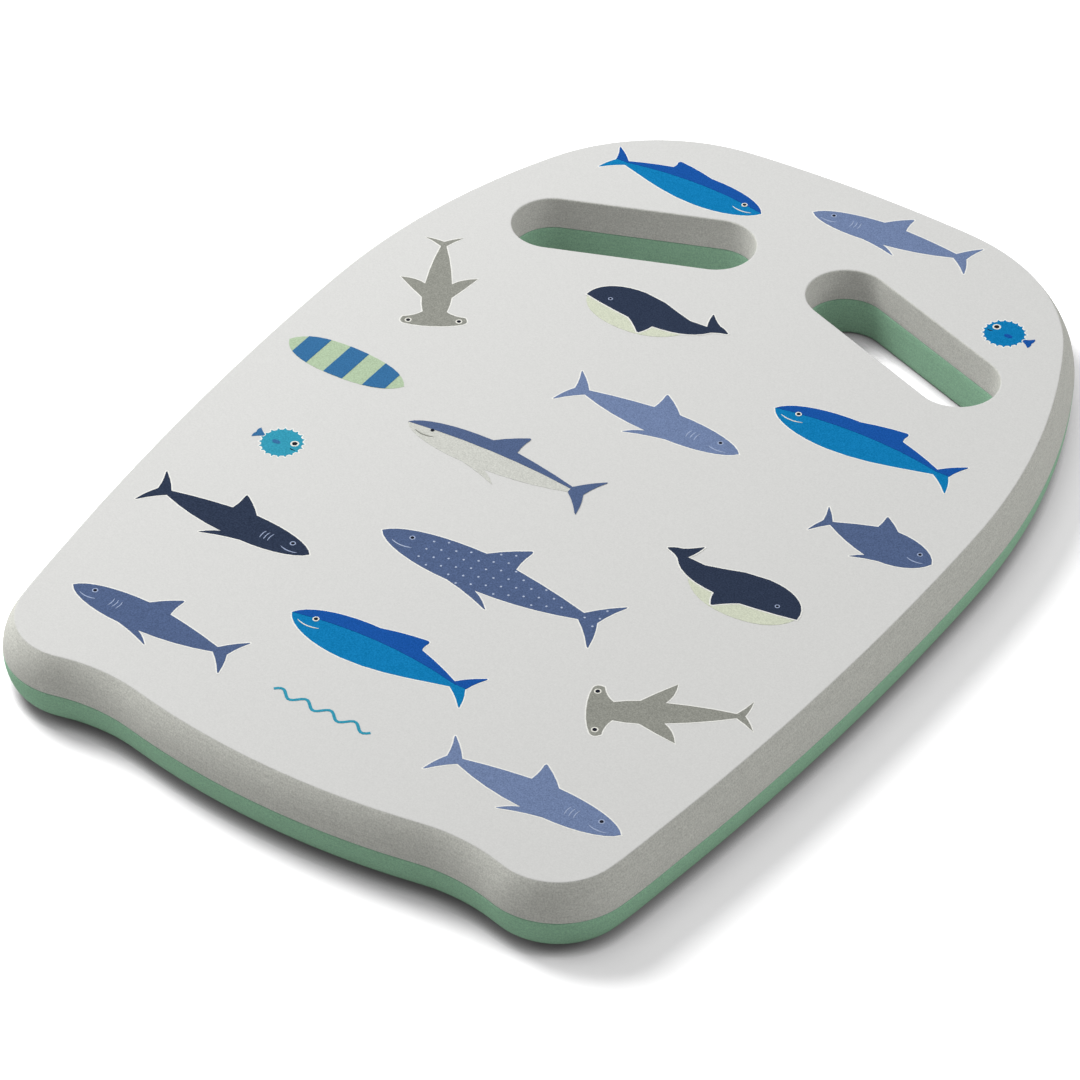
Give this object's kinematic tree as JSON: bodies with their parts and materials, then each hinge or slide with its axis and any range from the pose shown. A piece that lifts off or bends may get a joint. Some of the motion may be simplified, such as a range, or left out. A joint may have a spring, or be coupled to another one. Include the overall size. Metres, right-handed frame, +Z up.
{
  "type": "kickboard float",
  "caption": "Two-layer foam kickboard float with rounded edges, a broad round nose, a shallow scooped tail and two slanting hand slots, printed with plain sea animals.",
  "frame": {"origin": "middle of the board's length and width, on its bottom face", "axes": "+Y along the board to the nose, +Z up out of the printed face, +X to the right"},
  "size_m": [0.2872, 0.4, 0.0302],
  "materials": {
    "grey_foam": "matte closed-cell foam",
    "mint_foam": "matte closed-cell foam",
    "adhesive": "dull elastic bond line",
    "lavender_ink": "matte screen ink",
    "slate_ink": "matte screen ink",
    "navy_ink": "matte screen ink",
    "bright_blue_ink": "matte screen ink",
    "deep_blue_ink": "matte screen ink",
    "stone_ink": "matte screen ink",
    "teal_ink": "matte screen ink",
    "stripe_blue_ink": "matte screen ink",
    "pale_green_ink": "matte screen ink",
    "belly_ink": "matte screen ink",
    "white_ink": "matte screen ink"
  },
  "bodies": {
    "root": {"bottom_layer": "mint_foam", "bond_film": "adhesive", "top_layer": "grey_foam", "lavender_shark_nose": "lavender_ink", "lavender_shark_middle": "lavender_ink", "lavender_shark_tail": "lavender_ink", "slate_shark": "slate_ink", "navy_shark": "navy_ink", "round_shark": "slate_ink", "spotted_shark": "slate_ink", "white_shark": "white_ink", "white_shark_back": "slate_ink", "blue_fish_nose": "bright_blue_ink", "blue_fish_nose_back": "deep_blue_ink", "blue_fish_side": "bright_blue_ink", "blue_fish_side_back": "deep_blue_ink", "blue_fish_tail": "bright_blue_ink", "blue_fish_tail_back": "deep_blue_ink", "whale_left": "belly_ink", "whale_left_body": "navy_ink", "whale_right": "belly_ink", "whale_right_body": "navy_ink", "hammerhead_right": "stone_ink", "hammerhead_left": "stone_ink", "puffer_right": "bright_blue_ink", "puffer_right_tail": "deep_blue_ink", "puffer_left": "teal_ink", "puffer_left_tail": "stripe_blue_ink", "surfboard": "pale_green_ink", "surfboard_tip_stripe": "stripe_blue_ink", "surfboard_middle_stripe": "stripe_blue_ink", "surfboard_end_stripe": "stripe_blue_ink", "wave_mark": "teal_ink"}
  },
  "joints": []
}
